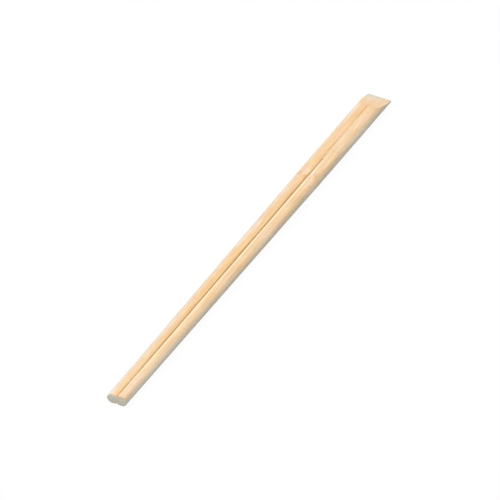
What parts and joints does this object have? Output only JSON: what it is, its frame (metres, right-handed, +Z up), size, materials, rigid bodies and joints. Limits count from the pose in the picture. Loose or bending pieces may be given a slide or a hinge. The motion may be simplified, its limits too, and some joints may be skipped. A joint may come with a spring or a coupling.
{
  "type": "disposable bamboo chopsticks, joined pair",
  "caption": "Bamboo chopsticks joined at the head, tapering to rounded tips, with a saw slit along which they snap apart and a slant-cut head.",
  "frame": {"origin": "middle of the pair's bounding box, on the surface it lies on", "axes": "+Y along the sticks from the tips towards the head, +X across the pair, +Z up out of the slant-cut face"},
  "size_m": [0.0114, 0.24, 0.005],
  "materials": {
    "bamboo": "planed and polished raw bamboo, satin, fine lengthwise fibres"
  },
  "bodies": {
    "root": {"joined_chopsticks": "bamboo"}
  },
  "joints": []
}
